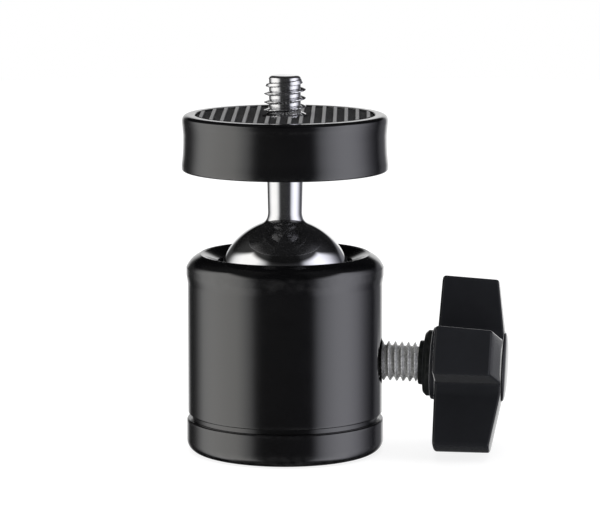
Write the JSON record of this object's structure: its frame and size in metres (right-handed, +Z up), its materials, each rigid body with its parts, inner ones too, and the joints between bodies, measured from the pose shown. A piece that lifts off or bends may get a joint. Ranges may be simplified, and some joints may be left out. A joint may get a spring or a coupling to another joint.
{
  "type": "mini tripod ball head",
  "caption": "Small ball head: chrome ball and stem clamped in a turned black housing by a lobed side knob, with a round padded platform and camera screw",
  "frame": {"origin": "middle of the foot's underside, on the housing's axis, where a tripod's screw enters", "axes": "+Z up along the housing and the stem at rest; +X towards the clamp knob; +Y towards the notch at the back of the housing"},
  "size_m": [0.0496, 0.0312, 0.0574],
  "materials": {
    "black_anodised": "turned, black anodised, semi-gloss",
    "polished_chrome": "polished",
    "zinc_plate": "zinc plated",
    "blacked_steel": "black oxide",
    "brass_bush": "turned",
    "black_plastic": "moulded, satin",
    "black_nylon": "turned nylon",
    "bare_aluminium": "turned",
    "white_acetal": "moulded acetal",
    "black_rubber": "ribbed rubber",
    "clear_glue": "double-sided film"
  },
  "bodies": {
    "base": {"housing": "black_anodised", "base_cap": "black_anodised", "tripod_insert": "brass_bush", "seat_ring": "black_nylon"},
    "ball_tilt": {"ball": "polished_chrome"},
    "stem": {"neck": "polished_chrome"},
    "camera_platform": {"platform": "black_anodised", "lock_washer": "zinc_plate", "camera_screw": "polished_chrome", "pad_adhesive": "clear_glue", "rubber_pad": "black_rubber"},
    "clamp_cup": {"pressure_cup": "bare_aluminium", "cup_liner": "white_acetal"},
    "clamp_tip": {"thrust_tip": "brass_bush"},
    "clamp_knob": {"clamp_stud": "zinc_plate", "stud_collar": "blacked_steel", "knob_washer": "blacked_steel", "knob": "black_plastic", "knob_cap": "black_plastic"}
  },
  "joints": [
    {"name": "side_tilt", "type": "hinge", "parent": "base", "child": "ball_tilt", "pos_m": [0, 0, 0.0253], "axis": [0, 1, 0], "range_deg": [-37, 37]},
    {"name": "fore_aft_tilt", "type": "hinge", "parent": "ball_tilt", "child": "stem", "pos_m": [0, 0, 0.0253], "axis": [-1, 0, 0], "range_deg": [-37, 90]},
    {"name": "platform_spin", "type": "hinge", "parent": "stem", "child": "camera_platform", "pos_m": [0, 0, 0.0253], "axis": [0, 0, 1], "continuous": true},
    {"name": "cup_drop", "type": "slide", "parent": "base", "child": "clamp_cup", "axis": [0, 0, -1], "range_m": [0, 0.00208]},
    {"name": "tip_advance", "type": "slide", "parent": "base", "child": "clamp_tip", "axis": [0.9994, 0, -0.0349], "range_m": [0, 0.002]},
    {"name": "knob_turn", "type": "hinge", "parent": "clamp_tip", "child": "clamp_knob", "pos_m": [0.0148, 0, 0.0141], "axis": [0.9994, 0, -0.0349], "range_deg": [0, 720]}
  ],
  "couplings": [
    {"joint": "knob_turn", "follows": "tip_advance", "rad_per_m": 6283.2},
    {"joint": "cup_drop", "follows": "tip_advance", "ratio": 1.0343}
  ]
}
